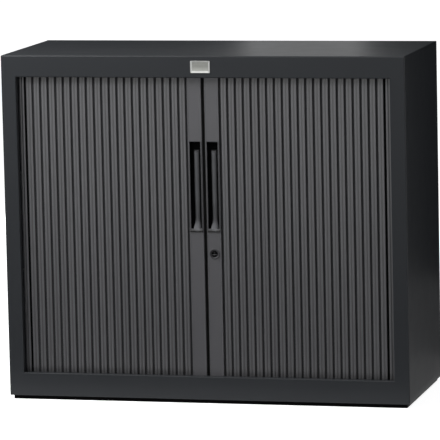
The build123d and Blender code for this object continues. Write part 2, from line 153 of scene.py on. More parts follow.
class Editing:
    """Edit mode on one piece, with its common steps in millimetres."""

    def __init__(self, obj):
        self.obj = obj

    def __enter__(self):
        select_only(self.obj)
        bpy.ops.object.mode_set(mode="EDIT")
        return self

    def __exit__(self, *problem):
        bpy.ops.object.mode_set(mode="OBJECT")

    def pick(self, kind, test):
        bpy.ops.mesh.select_mode(type=kind)
        bpy.ops.mesh.select_all(action="DESELECT")
        mesh = bmesh.from_edit_mesh(self.obj.data)
        items = {"VERT": mesh.verts, "EDGE": mesh.edges, "FACE": mesh.faces}[kind]
        found = 0
        for item in items:
            verts = [item] if kind == "VERT" else item.verts
            if test([vert.co / MM for vert in verts]):
                item.select_set(True)
                found += 1
        bmesh.update_edit_mesh(self.obj.data)
        if not found:
            raise RuntimeError(f"nothing to pick on {self.obj.name}")

    def cut(self, axis, *values):
        normal = Vector([float(other == axis) for other in range(3)])
        for value in values:
            bpy.ops.mesh.select_all(action="SELECT")
            bpy.ops.mesh.bisect(plane_co=normal * value * MM, plane_no=normal)

    def extrude(self, x, y, z):
        bpy.ops.mesh.extrude_region_move(TRANSFORM_OT_translate={"value": corner(x, y, z)})

    def move(self, x, y, z):
        bpy.ops.transform.translate(value=corner(x, y, z))

    def resize(self, x, y, z, centre):
        bpy.ops.transform.resize(value=(x, y, z), center_override=corner(*centre))

    def inset(self, width, each=False):
        bpy.ops.mesh.inset(thickness=width * MM, use_individual=each)

    def bevel(self, width, segments):
        bpy.ops.mesh.bevel(offset=width * MM, segments=segments, affect="EDGES")

    def two_finishes(self, first, second, test):
        """Gives the piece a first finish all over and a second one on the faces of a test."""
        for name in (first, second):
            self.obj.data.materials.append(finish_named(name))
        self.pick("FACE", test)
        self.obj.active_material_index = 1
        bpy.ops.object.material_slot_assign()


def named(obj, name):
    obj.name = name
    obj.data.name = name
    return obj


# Primitives at their size and place

def settle(name):
    """Puts a new primitive's place into its mesh and names it."""
    bpy.ops.object.transform_apply(location=True, rotation=True, scale=True)
    return named(bpy.context.object, name)


def add_box(name, low, high):
    deselect()
    low, high = corner(*low), corner(*high)
    bpy.ops.mesh.primitive_cube_add(size=1, location=(low + high) / 2)
    bpy.context.object.scale = high - low
    return settle(name)


def add_sheet(name, middle, turn, size):
    """A flat rectangle whose outer face looks the way that the turn points +Z."""
    deselect()
    bpy.ops.mesh.primitive_plane_add(size=1, location=corner(*middle), rotation=turn)
    bpy.context.object.scale = (size[0] * MM, size[1] * MM, 1)
    return settle(name)


def body_sheet(name, y, turn):
    """A flat sheet as wide and high as the body."""
    middle = (0, y, (BODY_BOTTOM + TOP) / 2)
    return add_sheet(name, middle, turn, (2 * SIDE_X, TOP - BODY_BOTTOM))


def add_bar(name, radius, middle_x, span_y, middle_z, sides):
    """A round bar that runs from front to back."""
    deselect()
    bpy.ops.mesh.primitive_cylinder_add(
        vertices=sides,
        radius=radius * MM,
        depth=(span_y[1] - span_y[0]) * MM,
        location=corner(middle_x, sum(span_y) / 2, middle_z),
        rotation=UPRIGHT,
    )
    return settle(name)


def apply_modifier(obj, kind, **settings):
    select_only(obj)
    bpy.ops.object.modifier_add(type=kind)
    modifier = obj.modifiers[-1]
    for key, value in settings.items():
        setattr(modifier, key, value)
    bpy.ops.object.modifier_apply(modifier=modifier.name)


def thicken(obj, sheet):
    """Gives a bent sheet its thickness, inwards from its outer face."""
    apply_modifier(obj, "SOLIDIFY", thickness=sheet * MM, offset=-1, use_even_offset=True)


def cut_out(obj, cutter):
    apply_modifier(obj, "BOOLEAN", operation="DIFFERENCE", object=cutter, solver="EXACT")
    bpy.data.objects.remove(cutter)


def copy_of(obj, name, matrix):
    """A copy with its own mesh, moved as the matrix says and right side out when mirrored."""
    other = obj.copy()
    other.data = obj.data.copy()
    bpy.context.scene.collection.objects.link(other)
    other.data.transform(matrix)
    if matrix.determinant() < 0:
        other.data.flip_normals()
    return named(other, name)


def joined(name, parts):
    select_only(parts[0])
    for part in parts[1:]:
        part.select_set(True)
    bpy.ops.object.join()
    return named(parts[0], name)


def paint_shade_per_vertex(obj, shade_at):
    """Stores each vertex's painted shade, 0 to 1, from its place in millimetres."""
    shade_mask = obj.data.attributes.new("groove", "FLOAT", "POINT")
    for vert, value in zip(obj.data.vertices, shade_mask.data):
        value.value = clamped(shade_at(*(vert.co / MM)))


def finish_piece(obj, body, slot, nodes, smooth=35):
    """Smooths a piece, finishes a bare one as its slot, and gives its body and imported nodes."""
    select_only(obj)
    bpy.ops.object.shade_smooth_by_angle(angle=math.radians(smooth))
    apply_modifier(obj, "WEIGHTED_NORMAL", keep_sharp=True)
    if not obj.data.materials:
        obj.data.materials.append(finish_named(slot))
    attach(obj, body)
    if nodes:
        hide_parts(*nodes)


# Materials

MICRON = 0.000001


def add_node(tree, kind, wires=(), settings=(), **values):
    """A new shader node, with its inputs wired to outputs or set to values."""
    node = tree.nodes.new("ShaderNode" + kind)
    for key, value in dict(settings).items():
        setattr(node, key, value)
    for key, value in values.items():
        node.inputs[key.replace("_", " ")].default_value = value
    for key, output in dict(wires).items():
        tree.links.new(output, node.inputs[key])
    return node


class Finish:
    """A new node material around one Principled shader."""

    def __init__(self, name, **sockets):
        self.material = bpy.data.materials.new(name)
        self.material.use_nodes = True
        self.tree = self.material.node_tree
        self.shader = self.tree.nodes["Principled BSDF"]
        self.place = add_node(self.tree, "TexCoord").outputs["Object"]
        for key, value in sockets.items():
            self.shader.inputs[key.replace("_", " ")].default_value = value

    def stretched(self, x, y, z):
        """Object coordinates scaled by three factors."""
        wires = {"Vector": self.place}
        return add_node(self.tree, "Mapping", wires, Scale=(x, y, z)).outputs["Vector"]

    def noise(self, scale, detail=2.0, vector=None):
        wires = {"Vector": vector or self.place}
        return add_node(self.tree, "TexNoise", wires, Scale=scale, Detail=detail).outputs["Fac"]

    def spread(self, value, low, high, from_low=0.3, from_high=0.7):
        """Maps the middle of a noise onto a range."""
        return add_node(
            self.tree, "MapRange", {"Value": value},
            From_Min=from_low, From_Max=from_high, To_Min=low, To_Max=high,
        ).outputs["Result"]

    def tones(self, noise, colour, dark, light):
        """Varies a colour along a noise, between two shares of it."""
        return add_node(
            self.tree, "Mix", {"Factor": self.spread(noise, 0, 1)}, {"data_type": "RGBA"},
            A=(*shade(colour, dark), 1), B=(*shade(colour, light), 1),
        ).outputs["Result"]

    def darken_by_painted_shade(self, colour, darkest):
        """Darkens a colour by the piece's painted shade, down to a share of it where that shade is
        deepest.
        """
        shade_mask = add_node(self.tree, "Attribute", settings={"attribute_name": "groove"})
        wires = {"A": colour, "B": self.spread(shade_mask.outputs["Fac"], 1.0, darkest, 0, 1)}
        settings = {"data_type": "RGBA", "blend_type": "MULTIPLY"}
        return add_node(self.tree, "Mix", wires, settings, Factor=1.0).outputs["Result"]

    def bump(self, height, distance, **wires):
        wires["Height"] = height
        node = add_node(self.tree, "Bump", wires, Strength=1.0, Distance=distance)
        return node.outputs["Normal"]

    def surface(self, colour, roughness, normal):
        """Wires the shader and gives the finished material."""
        for key, output in (("Base Color", colour), ("Roughness", roughness), ("Normal", normal)):
            self.tree.links.new(output, self.shader.inputs[key])
        return self.material


def shade(colour, factor):
    return tuple(clamped(part * factor) for part in colour)


def powder_coat(name, colour, roughness, specular):
    """Powder coat: faint cloudiness, a slightly uneven sheen and a fine orange-peel surface."""
    finish = Finish(name, Specular_IOR_Level=specular)
    tone = finish.tones(finish.noise(2.6, 3), colour, 0.97, 1.03)
    sheen = finish.spread(finish.noise(19, 3), roughness - 0.015, roughness + 0.015)
    peel = finish.bump(finish.noise(260), 20 * MICRON)
    grain = finish.bump(finish.noise(1300), 25 * MICRON, Normal=peel)
    return finish.surface(tone, sheen, grain)


def drawn_plastic(name, colour, roughness, specular):
    """Extruded plastic: long faint die lines, and painted shade read from each vertex."""
    finish = Finish(name, Specular_IOR_Level=specular)
    lines = finish.noise(1, 3, finish.stretched(900, 900, 2.5))
    clouds = finish.noise(1, 2, finish.stretched(26, 26, 1.2))
    # Painted shade: the slats' valleys, flanks and ends darken down to a fifth
    tone = finish.darken_by_painted_shade(finish.tones(clouds, colour, 0.94, 1.06), 0.2)
    sheen = finish.spread(lines, roughness - 0.05, roughness + 0.07)
    return finish.surface(tone, sheen, finish.bump(lines, 40 * MICRON))


def moulded_plastic(name, colour, roughness, specular, shaded_by_paint=False):
    """Moulded plastic with a fine spark-eroded grain. One shaded by paint darkens by the piece's
    painted shade.
    """
    finish = Finish(name, Specular_IOR_Level=specular)
    tone = finish.tones(finish.noise(30), colour, 0.92, 1.08)
    if shaded_by_paint:
        tone = finish.darken_by_painted_shade(tone, 0.03)
    sheen = finish.spread(finish.noise(90), roughness - 0.05, roughness + 0.05)
    return finish.surface(tone, sheen, finish.bump(finish.noise(1700, 3), 30 * MICRON))


def metal(name, colour, roughness, stretch):
    """Plated or polished metal with fine lines along one direction."""
    finish = Finish(name, Metallic=1.0)
    lines = finish.noise(1, 3, finish.stretched(*stretch))
    tone = finish.tones(finish.noise(45, 3), colour, 0.9, 1.06)
    sheen = finish.spread(lines, roughness - 0.05, roughness + 0.08)
    return finish.surface(tone, sheen, finish.bump(lines, 20 * MICRON))


def rubber(name, colour):
    """Dusty rubber with a fine grain."""
    finish = Finish(name, Specular_IOR_Level=0.12)
    dust = finish.tones(finish.noise(70, 4), colour, 0.85, 1.25)
    sheen = finish.spread(finish.noise(140), 0.68, 0.85)
    return finish.surface(dust, sheen, finish.bump(finish.noise(1500), 40 * MICRON))


# What a user would change

class CabinetSizes(bpy.types.PropertyGroup):
    outer_bend: FloatProperty(
        name="Outer bend", description="Radius of the frame's outer bends",
        default=3.8 * MM, min=0.5 * MM, max=5 * MM, precision=4, unit="LENGTH",
    )
    fold_bend: FloatProperty(
        name="Opening bend", description="Radius of the bend round the opening",
        default=3.0 * MM, min=0.3 * MM, max=3.5 * MM, precision=4, unit="LENGTH",
    )
    seam: FloatProperty(
        name="Seam", description="Gap between the frame and the panels behind it",
        default=0.4 * MM, min=0.1 * MM, max=1 * MM, precision=4, unit="LENGTH",
    )
    flange: FloatProperty(
        name="Flange", description="Depth of the panels' folded edges",
        default=8.0 * MM, min=3 * MM, max=15 * MM, precision=4, unit="LENGTH",
    )
    pressing: FloatProperty(
        name="Back pressing", description="Depth of the fields pressed into the back",
        default=2.8 * MM, min=0, max=3 * MM, precision=4, unit="LENGTH",
    )
    slat_valley: FloatProperty(
        name="Slat valley", description="Depth of the valley along each slat",
        default=0.9 * MM, min=0, max=1.5 * MM, precision=4, unit="LENGTH",
    )
    bead_width: FloatProperty(
        name="Stile bead", description="Width of the raised edge along each stile",
        default=3.0 * MM, min=1 * MM, max=6 * MM, precision=4, unit="LENGTH",
    )
    bead_height: FloatProperty(
        name="Bead height", description="How far the stile's beads stand up",
        default=0.5 * MM, min=0, max=1 * MM, precision=4, unit="LENGTH",
    )
    grip_round: FloatProperty(
        name="Grip rounding", description="Radius of the grip's long edges",
        default=8.6 * MM, min=2 * MM, max=9 * MM, precision=4, unit="LENGTH",
    )
    lock_dish: FloatProperty(
        name="Lock dish", description="How deep the rosette is dished",
        default=1.9 * MM, min=0.2 * MM, max=2 * MM, precision=4, unit="LENGTH",
    )


class CabinetColours(bpy.types.PropertyGroup):
    frame_paint: FloatVectorProperty(
        name="Frame paint", description="Powder coat of the frame and panels", subtype="COLOR",
        default=(0.0180, 0.0200, 0.0229),
    )
    slat_plastic: FloatVectorProperty(
        name="Slats", description="Plastic of the curtain slats", subtype="COLOR",
        default=(0.071, 0.0707, 0.0757),
    )
    stile_paint: FloatVectorProperty(
        name="Stiles", description="Paint of the two sliding stiles", subtype="COLOR",
        default=(0.066, 0.0650, 0.0705),
    )
    handle_plastic: FloatVectorProperty(
        name="Handles", description="Plastic of the sunk handles", subtype="COLOR",
        default=(0.0012, 0.0012, 0.0014),
    )
    grip_plastic: FloatVectorProperty(
        name="Grips", description="Plastic of the upright grips", subtype="COLOR",
        default=(0.125, 0.127, 0.135),
    )
    plinth_paint: FloatVectorProperty(
        name="Plinth", description="Paint of the recessed plinth", subtype="COLOR",
        default=(0.0015, 0.0015, 0.0017),
    )
    badge_metal: FloatVectorProperty(
        name="Badge", description="Polished rim of the bare badge", subtype="COLOR",
        default=(0.55, 0.555, 0.54),
    )
    floor: FloatVectorProperty(
        name="Floor", description="Pale floor under the cabinet", subtype="COLOR",
        default=(0.64, 0.64, 0.64),
    )


class CabinetLight(bpy.types.PropertyGroup):
    key_power: FloatProperty(
        name="Key light", description="Power of the soft light above the front",
        default=120.0, min=0, unit="POWER",
    )
    fill_power: FloatProperty(
        name="Fill light", description="Power of the soft light beside the camera",
        default=8.0, min=0, unit="POWER",
    )
    rear_power: FloatProperty(
        name="Rear light", description="Power of the soft low light behind",
        default=40.0, min=0, unit="POWER",
    )
    room: FloatProperty(
        name="Room light", description="Strength of the even light from all round",
        default=0.34, min=0, max=2,
    )


def sizes():
    """The sizes in millimetres."""
    group = bpy.context.scene.cabinet_sizes
    return SimpleNamespace(**{name: getattr(group, name) / MM for name in group.__annotations__})


def colours():
    return bpy.context.scene.cabinet_colours


_finishes = {}


def finish_named(name):
    """The material of one finish, made the first time that it is asked for."""
    if name in _finishes:
        return _finishes[name]
    c = colours()
    makers = {
        "cabinet_paint": (powder_coat, c.frame_paint, 0.42, 0.25),
        "plinth_paint": (powder_coat, c.plinth_paint, 0.7, 0.03),
        "rivet_steel": (powder_coat, shade(c.frame_paint, 1.6), 0.36, 0.5),
        "foot_steel": (powder_coat, (0.02, 0.02, 0.021), 0.45, 0.4),
        "slat_plastic": (drawn_plastic, c.slat_plastic, 0.31, 1.0),
        # Darker copies of the slat plastic, as painted shade in the gaps between slats and in the
        # joints that open at the corner
        "slat_groove": (moulded_plastic, shade(c.slat_plastic, 0.3), 0.7, 0.2),
        "open_joint": (moulded_plastic, shade(c.slat_plastic, 0.03), 0.8, 0.05),
        "stile_paint": (powder_coat, c.stile_paint, 0.34, 0.7),
        "handle_plastic": (moulded_plastic, c.handle_plastic, 0.6, 0.02),
        # True: the grips and the cups' rims carry painted shade and highlight
        "grip_plastic": (moulded_plastic, c.grip_plastic, 0.42, 0.35, True),
        "buffer_rubber": (rubber, (0.005, 0.005, 0.005)),
        "track_plastic": (moulded_plastic, (0.015, 0.015, 0.016), 0.55, 0.3),
        "glide_nylon": (moulded_plastic, (0.05, 0.05, 0.05), 0.5, 0.4),
        "lock_metal": (moulded_plastic, shade(c.stile_paint, 0.72), 0.4, 0.4),
        # A darker copy of the stile paint, as painted shade in the rosette's dish
        "lock_dish": (moulded_plastic, shade(c.stile_paint, 0.36), 0.5, 0.2),
        "lock_plug": (moulded_plastic, (0.0015, 0.0015, 0.0015), 0.5, 0.04),
        "plated_steel": (metal, (0.60, 0.60, 0.58), 0.33, (40, 400, 400)),
        "badge_rim": (metal, c.badge_metal, 0.34, (30, 900, 900)),
        "badge_face": (metal, (0.29, 0.295, 0.275), 0.42, (20, 1200, 1200)),
    }
    maker, *values = makers[name]
    _finishes[name] = maker(name, *values)
    return _finishes[name]


# Carcass

class CABINET_OT_front_frame(bpy.types.Operator):
    """Bends one sheet into the front frame: face, edges, fold round the opening and its hem"""

    bl_idname = "cabinet.front_frame"
    bl_label = "Front frame"

    def execute(self, context):
        size = sizes()
        hem, hem_bend = 7.0, 1.3
        left, right, low, high = OPENING
        half_z = (high - low) / 2
        rear = FRONT + FRAME_DEPTH
        obj = body_sheet("front_frame_shell", FRONT, UPRIGHT)
        opening = both(within(0, left, right), within(2, low, high))
        opening_edges = both(opening, either(at(0, left, right), at(2, low, high)))
        ends, top_and_foot = at(0, -SIDE_X, SIDE_X), at(2, BODY_BOTTOM, TOP)
        rim = either(ends, top_and_foot)
        with Editing(obj) as edit:
            edit.cut(0, left, right)
            edit.cut(2, low, high)
            edit.pick("FACE", opening)
            bpy.ops.mesh.delete(type="FACE")
            edit.pick("EDGE", rim)
            edit.extrude(0, FRAME_DEPTH, 0)
            edit.pick("EDGE", both(at(1, FRONT), opening_edges))
            edit.extrude(0, FRAME_DEPTH, 0)
            bpy.ops.mesh.extrude_region()
            wider, higher = (right + hem) / right, (half_z + hem) / half_z
            edit.resize(wider, 1, higher, (0, rear, (low + high) / 2))
            edit.pick("EDGE", both(at(1, rear), opening_edges))
            edit.bevel(hem_bend, 2)
            edit.pick("EDGE", both(at(1, FRONT), opening_edges))
            edit.bevel(size.fold_bend, 4)
            edit.pick("EDGE", either(both(at(1, FRONT), rim), both(ends, top_and_foot)))
            edit.bevel(size.outer_bend, 5)
        thicken(obj, FRAME_SHEET)
        finish_piece(obj, "carcass", "cabinet_paint", ["front_frame"])
        return {"FINISHED"}


class CABINET_OT_outer_panels(bpy.types.Operator):
    """Folds the top panel and the two side panels behind the frame"""

    bl_idname = "cabinet.outer_panels"
    bl_label = "Outer panels"

    def execute(self, context):
        size = sizes()
        top_bend, side_bend, side_flange = 0.5, 0.6, 12.0
        span = (FRONT + FRAME_DEPTH + size.seam, INNER_BACK - size.seam / 2)
        middle_y = sum(span) / 2
        depth = span[1] - span[0]
        low = TOP - size.flange
        above_flange = lambda points: max(p[2] for p in points) > low + 0.1
        top = add_sheet("top_shell", (0, middle_y, TOP), FLAT, (2 * SIDE_X, depth))
        with Editing(top) as edit:
            edit.pick("EDGE", either(at(0, -SIDE_X, SIDE_X), at(1, *span)))
            edit.extrude(0, 0, -size.flange)
            edit.pick("EDGE", both(at(0, -SIDE_X, SIDE_X), at(2, TOP)))
            edit.bevel(size.outer_bend, 5)
            edit.pick("EDGE", both(at(1, *span), above_flange))
            edit.bevel(top_bend, 2)
        thicken(top, SHEET)
        finish_piece(top, "carcass", "cabinet_paint", ["top_panel"])

        side_top = low - size.seam
        side = add_sheet(
            "right_side_shell",
            (SIDE_X, middle_y, (BODY_BOTTOM + side_top) / 2),
            (0, math.pi / 2, 0),
            (side_top - BODY_BOTTOM, depth),
        )
        with Editing(side) as edit:
            edit.pick("EDGE", at(1, *span))
            edit.extrude(-side_flange, 0, 0)
            edit.pick("EDGE", both(at(0, SIDE_X), at(1, *span)))
            edit.bevel(side_bend, 3)
        thicken(side, SHEET)
        mirrored = copy_of(side, "left_side_shell", MIRROR)
        for name, obj in (("right", side), ("left", mirrored)):
            finish_piece(obj, "carcass", "cabinet_paint", [f"{name}_side_panel"])
        return {"FINISHED"}


class CABINET_OT_back_panel(bpy.types.Operator):
    """Presses three shallow fields into the back sheet and sets the heads of its rivets"""

    bl_idname = "cabinet.back_panel"
    bl_label = "Back panel"

    def execute(self, context):
        field_z, partings, field_margin = (92.0, 936.0), (-205.0, 205.0), 32.0
        steps = ((3.0, 0.24), (4.0, 0.52), (3.0, 0.24))  # width, share of the pressing's depth
        sheet = body_sheet("back_shell", BACK, (-math.pi / 2, 0, 0))
        with Editing(sheet) as edit:
            edit.cut(2, *field_z)
            edit.cut(0, *partings)
            edit.pick("FACE", within(2, *field_z))
            edit.inset(field_margin, each=True)
            for width, share in steps:
                edit.inset(width, each=True)
                edit.move(0, -sizes().pressing * share, 0)
        thicken(sheet, SHEET)
        finish_piece(sheet, "carcass", "cabinet_paint", ["back_panel"], 10)

        head_radius, head_rise, head_root, head_bend = 5.6, 1.2, 0.3, 1.0
        head = add_bar("rivet_head", head_radius, 0, (BACK - head_root, BACK + head_rise), 0, 32)
        with Editing(head) as edit:
            edit.pick("EDGE", at(1, BACK + head_rise))
            edit.bevel(head_bend, 4)
        low = BODY_BOTTOM + RIVET_END
        spacing = (TOP - RIVET_END - low) / (RIVET_ROWS - 1)
        copies = [
            copy_of(head, "rivet", Matrix.Translation(corner(x, 0, low + spacing * row)))
            for x in (-RIVET_X, RIVET_X)
            for row in range(RIVET_ROWS)
        ]
        bpy.data.objects.remove(head)
        finish_piece(joined("rivet_heads", copies), "carcass", "rivet_steel", [], 50)
        return {"FINISHED"}


# Curtains

def slat_profile(valley):
    """Distance from the middle of a slat's face, and how far the face lies back there."""
    return (
        (0.0, valley),
        (0.7, valley * 0.95),
        (1.4, valley * 0.72),
        (2.2, valley * 0.38),
        (3.1, valley * 0.12),
        (4.2, 0.0),
        (5.8, 0.08),
        (7.0, 0.3),
        (7.8, 0.75),
        (8.2, 1.3),
        (8.4, 2.0),
    )


def make_slat(valley):
    """One slat, lying straight at the middle, with its lip towards -X."""
    half = SLAT_WIDTH / 2
    front, back = -SLAT_DEPTH / 2, SLAT_DEPTH / 2
    lip_y, lip_gap, shoulder = (0.75, 2.25), 0.4, 1.5
    profile = slat_profile(valley)
    obj = add_box("slat", (-half, front, SLAT_Z[0]), (half, back, SLAT_Z[1]))
    with Editing(obj) as edit:
        for distance, _ in profile[:-1]:
            edit.cut(0, *{distance, -distance})
        for distance, lies_back in profile:
            edit.pick("VERT", both(at(1, front), at(0, distance, -distance)))
            edit.move(0, lies_back, 0)
        # Rows that carry the painted shade under the top fold and over the foot's fold
        edit.cut(2, *(SHADE_TOP - step for step in UNDER_RAIL))
        edit.cut(2, *(SHADE_LOW + step for step in OVER_RAIL))
        edit.cut(1, *lip_y)
        edit.pick("FACE", both(at(0, -half), within(1, *lip_y)))
        edit.extrude(SLAT_WIDTH - SLAT_PITCH + lip_gap, 0, 0)
        flanks = both(at(0, -half, half), within(1, front + shoulder, back))
        lip_face = both(within(0, -SLAT_PITCH, -half), at(1, lip_y[0]))
        # The flanks and the lip's face take a darker copy of the slat plastic: painted shade in the
        # gaps between slats
        edit.two_finishes("slat_plastic", "slat_groove", either(flanks, lip_face))

    edge, edge_fade, valley_half = 0.5, 1.6, 2.9
    valley_dark, under_dark, over_dark = 0.9, 1.1, 0.6

    # Painted shade, 0 to 1: deeper down the flanks, in the face's middle valley, under the top fold
    # and over the foot's fold
    def darkness(x, y, z):
        if abs(x) > half - edge:
            return (y - front - edge) / edge_fade
        in_valley = clamped(1 - abs(x) / valley_half)
        under_rail = clamped(1 - (SHADE_TOP - z) / UNDER_RAIL[-1])
        over_rail = clamped(1 - (z - SHADE_LOW) / OVER_RAIL[-1])
        return valley_dark * in_valley + under_dark * under_rail + over_dark * over_rail

    paint_shade_per_vertex(obj, darkness)
    return obj


def slat_place(index):
    """Where one slat of the right-hand curtain stands on its run."""
    along = STILE_X[1] + SLAT_PITCH * (index + 1) - SLAT_WIDTH / 2
    turned = max(0.0, along - TURN_X) / TURN_RADIUS
    x = min(along, TURN_X) + TURN_RADIUS * math.sin(turned)
    y = CURTAIN_Y + TURN_RADIUS * (1 - math.cos(turned))
    place = Matrix.Translation(corner(x, y, 0)) @ Matrix.Rotation(turned, 4, "Z")
    if index == LAST_IN_SIGHT:
        hinge = corner(-SLAT_WIDTH / 2, 0, 0)
        lean = Matrix.Rotation(LAST_LEAN, 4, "Z")
        place = place @ Matrix.Translation(hinge) @ lean @ Matrix.Translation(-hinge)
    return place


def shade_open_joints(slats):
    """Paints near black into the joints that open where the curtain turns its corner: painted shade
    in their gaps.
    """
    for slat in slats:
        slat.data.materials[1] = finish_named("open_joint")


class CABINET_OT_curtains(bpy.types.Operator):
    """Models one ribbed slat and copies it along both curtains, in groups that slide together"""

    bl_idname = "cabinet.curtains"
    bl_label = "Curtains"

    def execute(self, context):
        slat = make_slat(sizes().slat_valley)
        for side, sign in SIDES.items():
            turn = Matrix.Scale(sign, 4, (1, 0, 0))
            for group in range(SLAT_COUNT // SLATS_PER_GROUP):
                number = group + 1
                first = group * SLATS_PER_GROUP
                copies = [
                    copy_of(slat, f"{side}_slat_{index + 1}", turn @ slat_place(index))
                    for index in range(first, first + SLATS_PER_GROUP)
                ]
                shade_open_joints(copies[max(0, LAST_IN_SIGHT - first):])
                obj = joined(f"{side}_curtain_slats_{number}", copies)
                body = f"{side}_curtain_{number}"
                finish_piece(obj, body, "slat_plastic", [f"{side}_slats_{number}"], 30)
                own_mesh(obj)
        bpy.data.objects.remove(slat)
        return {"FINISHED"}


# Stiles and handles

def make_stile(name, low_x, with_lock):
    """A sliding upright with raised beads along both edges and the cut for its handle."""
    size = sizes()
    high_x = low_x + STILE_X[1] - STILE_X[0]
    middle = (low_x + high_x) / 2
    front, back = STILE_Y
    bead_slope = 0.7
    beads = (low_x + size.bead_width, high_x - size.bead_width)
    flat = (beads[0] + bead_slope, beads[1] - bead_slope)
    obj = add_box(name, (low_x, front, STILE_Z[0]), (high_x, back, STILE_Z[1]))
    with Editing(obj) as edit:
        for y, bend, segments in ((front, 1.3, 4), (back, 1.0, 2)):
            edit.pick("EDGE", both(at(0, low_x, high_x), at(1, y)))
            edit.bevel(bend, segments)
        edit.cut(0, beads[0], *flat, beads[1])
        edit.pick("VERT", both(at(1, front), within(0, *flat)))
        edit.move(0, size.bead_height, 0)
    past = 5.0  # how far a cutter reaches past the faces that it cuts
    pocket_half, pocket_depth, pocket_end = 17.5, 13.4, 1.5
    pocket = add_box(
        "pocket_cutter",
        (middle - pocket_half, front - past, HANDLE_Z[0] + pocket_end),
        (middle + pocket_half, front + pocket_depth, HANDLE_Z[1] - pocket_end),
    )
    cut_out(obj, pocket)
    if with_lock:
        span_y = (front - past, back + past)
        cut_out(obj, add_bar("lock_cutter", LOCK_HOLE, middle, span_y, LOCK_Z, 48))
    return obj


class CABINET_OT_stiles(bpy.types.Operator):
    """Models the two sliding stiles"""

    bl_idname = "cabinet.stiles"
    bl_label = "Stiles"

    def execute(self, context):
        for side, low_x in (("left", -STILE_X[1]), ("right", STILE_X[0])):
            obj = make_stile(f"{side}_stile_shell", low_x, side == "right")
            finish_piece(obj, f"{side}_door", "stile_paint", [f"{side}_stile"])
        return {"FINISHED"}


def make_cup():
    """The handle's rim and cup, about X 0. The rim's foot flares forward into a lip."""
    front = STILE_Y[0] - 1.0
    low, high = HANDLE_Z
    half, rim, foot_rim, rim_depth = 19.0, 2.8, 9.5, 1.5
    shell_inset, shell_depth, pocket_depth = 1.6, 12.5, 12.8
    wall_bend, mouth_bend, outer_bend = 2.2, 0.5, 0.8
    lip = ((0.0, 2.6), (2.5, 2.1), (5.0, 1.3), (8.0, 0.4))  # height, how far forward
    pocket = both(within(0, -half + rim, half - rim), within(2, low + foot_rim, high - rim))
    front_to_back = lambda points: abs(points[0][1] - points[-1][1]) > 5
    obj = add_box("cup", (-half, front, low), (half, front + rim_depth, high))
    with Editing(obj) as edit:
        edit.pick("FACE", at(1, front + rim_depth))
        edit.inset(shell_inset)
        edit.extrude(0, shell_depth, 0)
        edit.pick("FACE", at(1, front))
        edit.inset(rim)
        raised = (foot_rim - rim) / 2
        edit.move(0, 0, raised)
        mouth = high - low - 2 * rim
        edit.resize(1, 1, 1 - 2 * raised / mouth, (0, front, (low + high) / 2 + raised))
        edit.extrude(0, pocket_depth, 0)
        edit.pick("EDGE", both(pocket, at(0, -half + rim, half - rim), front_to_back))
        edit.bevel(wall_bend, 4)
        edit.pick("EDGE", both(at(1, front), pocket))
        edit.bevel(mouth_bend, 3)
        edit.pick("EDGE", both(at(1, front), either(at(0, -half, half), at(2, low, high))))
        edit.bevel(outer_bend, 3)
        edit.cut(2, *(low + height for height, _ in lip[1:]))
        edit.cut(0, *range(-12, 13, 4))
        bend_end = outer_bend + 0.05
        for height, forward in lip:
            row = at(2, low + height) if height else within(2, low, low + bend_end)
            edit.pick("VERT", both(row, within(1, front - 0.1, front + bend_end)))
            edit.move(0, -forward, 0)
        inside = both(pocket, within(1, front + 0.05, front + pocket_depth))
        edit.two_finishes("grip_plastic", "handle_plastic", inside)

    grip_x, fade = 3.5, 12.0

    # Painted shade on the rim: a fixed middle shade above its foot, and on the foot darker away
    # from the grip and towards its lower edge
    def darkness(x, y, z):
        along_lip = (z - low) / foot_rim
        if along_lip > 1.05:
            return 0.5
        beside_grip = min(1.0, abs(x - grip_x) / fade)
        return 0.1 + 0.5 * beside_grip + 0.8 * (1 - along_lip)

    paint_shade_per_vertex(obj, darkness)
    return obj


